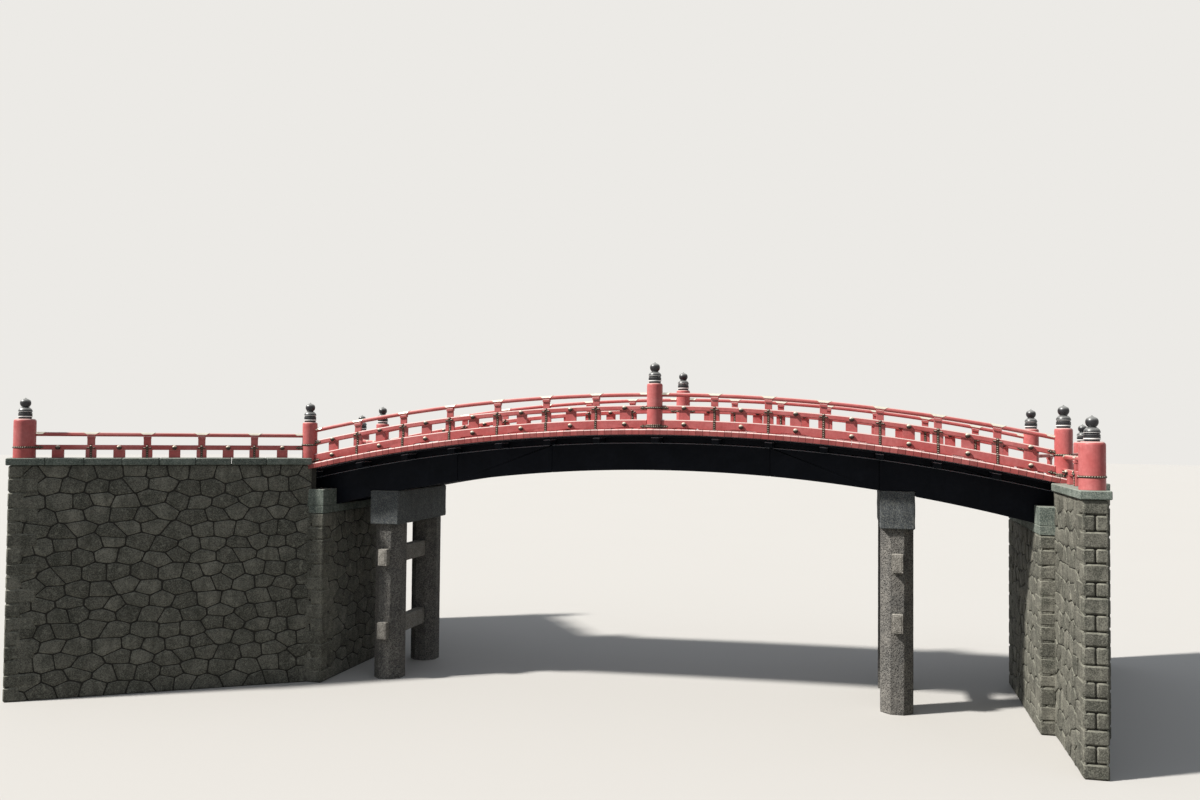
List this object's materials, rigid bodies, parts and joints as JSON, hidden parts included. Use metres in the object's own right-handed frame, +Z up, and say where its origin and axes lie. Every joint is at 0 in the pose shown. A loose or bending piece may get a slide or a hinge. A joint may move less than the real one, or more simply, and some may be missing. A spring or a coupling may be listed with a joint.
{
  "type": "arched timber bridge",
  "caption": "Arched red-lacquered timber bridge on stone piers, with round-topped railings, onion-finial posts, splayed wing railings and masonry abutments.",
  "frame": {"origin": "under the middle of the whole, at the level on which the piers and walls stand", "axes": "+X along the bridge, towards the end whose wings are both short; +Y across it, away from the side that the picture shows; +Z up"},
  "size_m": [39.028, 18.1734, 12.001],
  "materials": {
    "lacquer": "satin",
    "black_lacquer": "satin",
    "bronze": "matte",
    "gilt": "satin",
    "pier_granite": "rough",
    "coping_stone": "rough",
    "masonry": "rough"
  },
  "bodies": {
    "root": {"deck": "lacquer", "deck_joists": "black_lacquer", "cross_beams": "black_lacquer", "girder_near": "black_lacquer", "girder_middle": "black_lacquer", "girder_far": "black_lacquer", "girder_packing": "black_lacquer", "bottom_rail_near": "lacquer", "bottom_rail_far": "lacquer", "middle_rail_near": "lacquer", "middle_rail_far": "lacquer", "top_rail_near": "lacquer", "top_rail_far": "lacquer", "rail_sleeves_near": "gilt", "rail_sleeves_far": "gilt", "wing_sleeves": "gilt", "post_bands_near": "bronze", "post_bands_far": "bronze", "bay_posts_near": "lacquer", "bay_posts_far": "lacquer", "panel_posts_near": "lacquer", "panel_posts_far": "lacquer", "bearing_blocks_near": "lacquer", "bearing_blocks_far": "lacquer", "main_posts_near": "lacquer", "main_posts_far": "lacquer", "finials_near": "bronze", "finials_far": "bronze", "wing_rails_left": "lacquer", "wing_rails_right": "lacquer", "wing_posts_left": "lacquer", "wing_posts_right": "lacquer", "wing_end_posts": "lacquer", "wing_finials": "bronze", "copings_left": "coping_stone", "copings_right": "coping_stone", "wing_walls_left": "masonry", "wing_walls_right": "masonry", "abutment_left": "masonry", "abutment_right": "masonry", "pier_cap_left": "pier_granite", "pier_cap_right": "pier_granite", "pier_columns_left": "pier_granite", "pier_columns_right": "pier_granite", "pier_ties_left": "pier_granite", "pier_ties_right": "pier_granite"}
  },
  "joints": []
}
